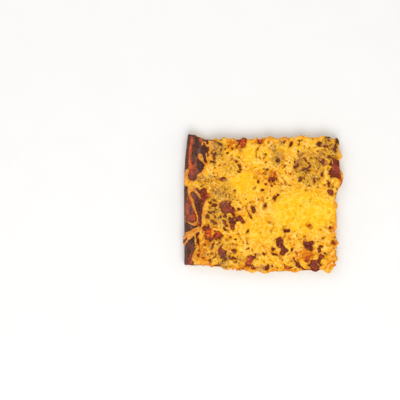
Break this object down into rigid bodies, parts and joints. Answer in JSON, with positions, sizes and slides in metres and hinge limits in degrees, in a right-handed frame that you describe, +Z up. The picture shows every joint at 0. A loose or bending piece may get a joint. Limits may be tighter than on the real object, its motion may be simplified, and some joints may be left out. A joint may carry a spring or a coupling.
{
  "type": "pizza slice",
  "caption": "Square-cut slice of tray-baked pizza: dough base with a raised dark-baked rim on one side, tomato sauce, and a melted grated cheese top with gaps and drips over the cut sides.",
  "frame": {"origin": "middle of the bounding box in plan, at the flat underside of the dough", "axes": "+X from the raised outer crust to the opposite cut side, +Y to the back cut side, +Z up out of the cheese top; the slice lies flat at Z = 0"},
  "size_m": [0.1728, 0.153, 0.0206],
  "materials": {
    "crust": "matte baked dough, dark and partly glossy on the rim",
    "tomato_sauce": "moist, semi-gloss",
    "cheese": "melted, oily semi-gloss"
  },
  "bodies": {
    "root": {"crust": "crust", "tomato_sauce": "tomato_sauce", "cheese": "cheese"}
  },
  "joints": []
}
